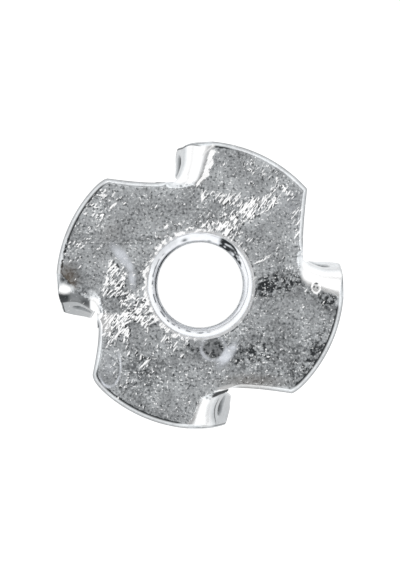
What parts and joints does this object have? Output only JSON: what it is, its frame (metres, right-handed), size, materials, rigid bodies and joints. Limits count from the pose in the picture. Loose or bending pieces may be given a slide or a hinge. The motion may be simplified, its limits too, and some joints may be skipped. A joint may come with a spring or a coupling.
{
  "type": "tee nut",
  "caption": "Round-flanged tee nut with a threaded barrel and sharp prongs folded down from notches in its rim, for a bolt in wood.",
  "frame": {"origin": "on the axis of the bore, in the plane of the barrel's lower end", "axes": "+Z along the bore from the barrel's end to the flange's upper face; +X and +Y each point along the radius of one prong"},
  "size_m": [0.022, 0.022, 0.011],
  "materials": {
    "zinc_plated_steel": "bright zinc plating on pressed sheet steel, clear passivated, scuffed and speckled from tumbling with other nuts"
  },
  "bodies": {
    "root": {"tee_nut": "zinc_plated_steel"}
  },
  "joints": []
}
